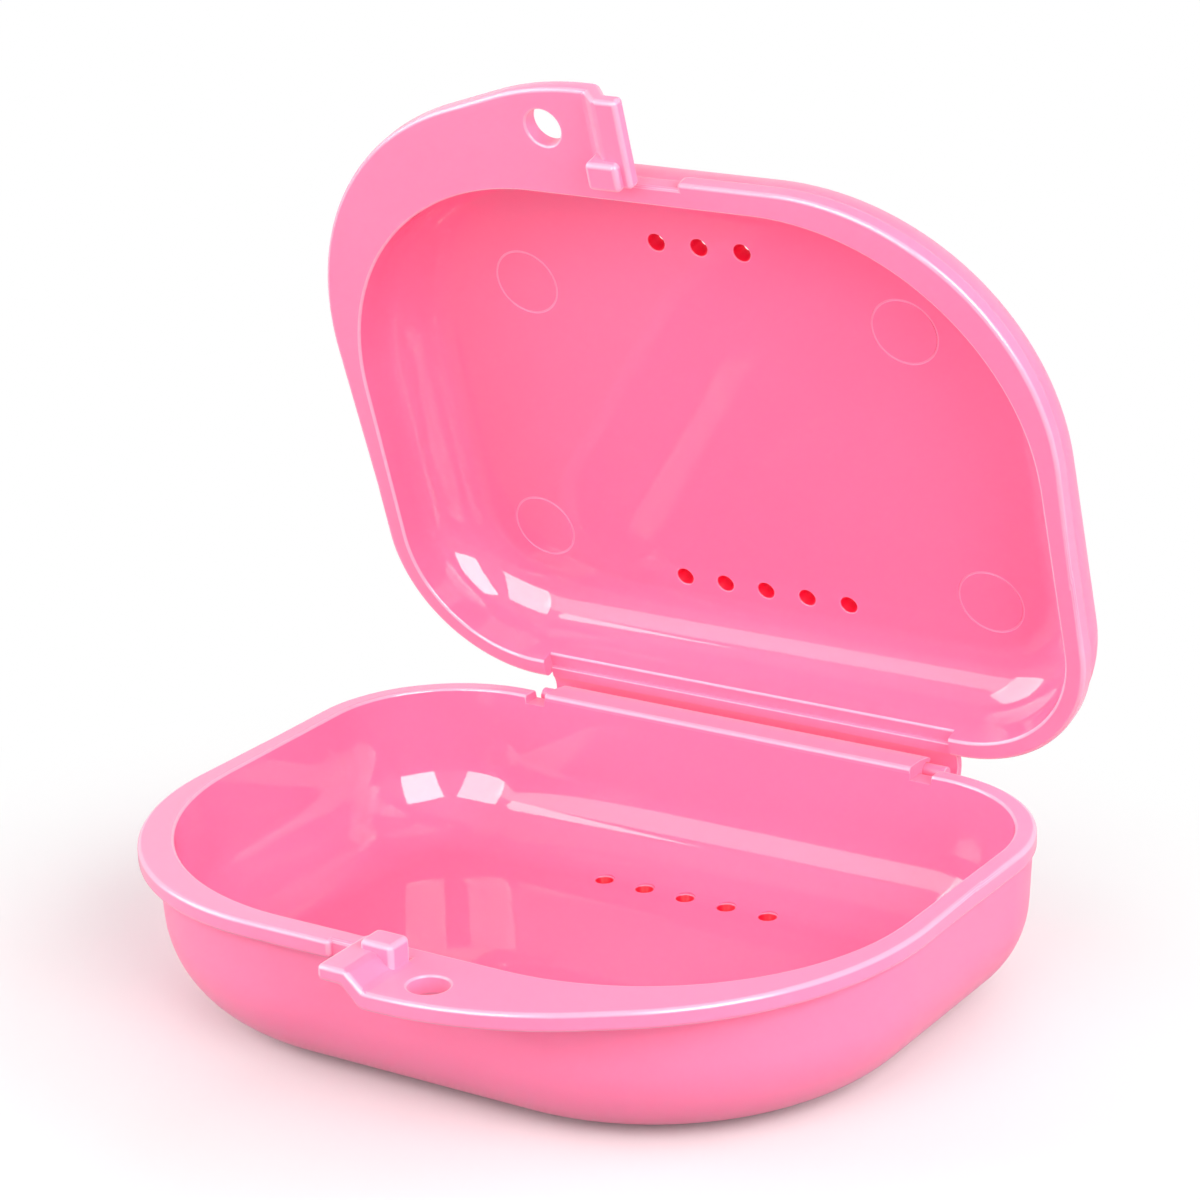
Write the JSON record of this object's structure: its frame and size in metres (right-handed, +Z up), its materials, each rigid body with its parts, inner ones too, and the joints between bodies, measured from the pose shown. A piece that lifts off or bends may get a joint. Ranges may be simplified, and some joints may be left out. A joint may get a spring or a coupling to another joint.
{
  "type": "orthodontic retainer case",
  "caption": "Shallow pocket case for a dental retainer: a vented tray and a vented lid that snap together on a long rear hinge, with a lobed front flange, a thumb latch and lanyard holes.",
  "frame": {"origin": "middle of the cavity, on the plane that the base stands on", "axes": "+X across the case, +Y from the latch to the hinge, +Z up out of the base tray"},
  "size_m": [0.0801, 0.0779, 0.0846],
  "materials": {
    "pink_plastic": "gloss inside, satin outside"
  },
  "bodies": {
    "base": {"base": "pink_plastic"},
    "lid": {"lid": "pink_plastic"}
  },
  "joints": [
    {"name": "lid_hinge", "type": "hinge", "parent": "base", "child": "lid", "pos_m": [0, 0.0318, 0.01525], "axis": [-1, 0, 0], "range_deg": [-73.2, 26.8]}
  ]
}
